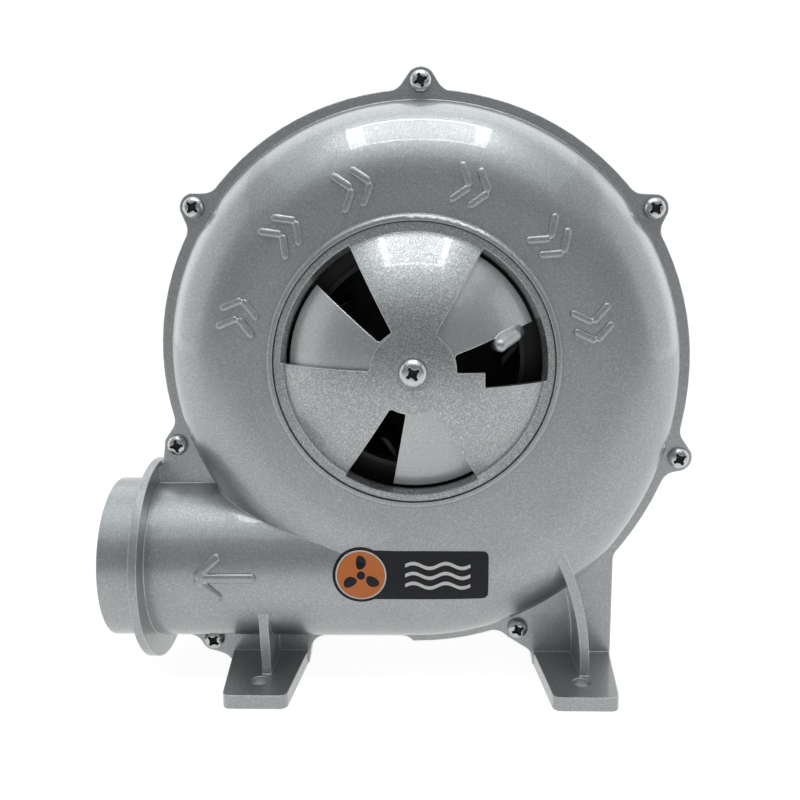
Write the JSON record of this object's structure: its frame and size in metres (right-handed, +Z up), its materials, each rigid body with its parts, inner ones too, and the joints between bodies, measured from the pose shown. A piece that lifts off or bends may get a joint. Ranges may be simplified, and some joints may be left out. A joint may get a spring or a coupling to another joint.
{
  "type": "centrifugal blower fan",
  "caption": "Cast volute blower on four feet with a domed intake, a turning air shutter, a round side outlet and a motor behind.",
  "frame": {"origin": "centre of the four foot holes, on the floor plane under the feet", "axes": "+Z up, -Y towards the intake side, -X the way the air leaves the outlet"},
  "size_m": [0.1835, 0.1581, 0.1883],
  "materials": {
    "cast_paint": "hammered",
    "cap_paint": "hammered",
    "zinc": "satin",
    "sheet_steel": "satin",
    "machined_steel": "satin",
    "bearing_steel": "polished",
    "core_steel": "satin",
    "bare_aluminium": "cast",
    "copper": "enamelled",
    "black_plastic": "matt",
    "grey_plastic": "gloss",
    "felt": "matt"
  },
  "bodies": {
    "housing": {"front_housing": "cast_paint", "rear_housing": "cast_paint", "housing_screws": "zinc", "intake_cap": "cap_paint", "damper_screw": "zinc", "damper_spring": "machined_steel", "damper_washer": "zinc", "damper_nut": "zinc", "shaft_seal": "felt", "front_bearing_outer": "bearing_steel", "rear_bearing_outer": "bearing_steel", "bearing_spring": "machined_steel", "stator_core": "core_steel", "stator_windings": "copper", "motor_shell": "cast_paint", "motor_screws": "zinc", "end_cover": "cast_paint", "end_cover_screws": "zinc", "terminal_box": "black_plastic", "terminal_box_lid": "black_plastic", "terminal_box_screws": "zinc", "capacitor": "grey_plastic", "cable_gland": "black_plastic"},
    "damper": {"damper": "cap_paint"},
    "rotor": {"motor_shaft": "machined_steel", "impeller_backplate": "sheet_steel", "impeller_blades": "sheet_steel", "impeller_shroud": "sheet_steel", "impeller_hub": "machined_steel", "impeller_rivets": "zinc", "impeller_washer": "zinc", "impeller_nut": "zinc", "shaft_spacer": "zinc", "front_bearing_inner": "bearing_steel", "front_bearing_balls": "bearing_steel", "rear_bearing_inner": "bearing_steel", "rear_bearing_balls": "bearing_steel", "rotor_core": "core_steel", "rotor_cage": "bare_aluminium"}
  },
  "joints": [
    {"name": "damper_turn", "type": "hinge", "parent": "housing", "child": "damper", "pos_m": [-0.0012, -0.05195, 0.1028], "axis": [0, -1, 0], "range_deg": [-21.5, 36.5]},
    {"name": "rotor_spin", "type": "hinge", "parent": "housing", "child": "rotor", "pos_m": [-0.0012, -0.01595, 0.1028], "axis": [0, 1, 0], "continuous": true}
  ]
}
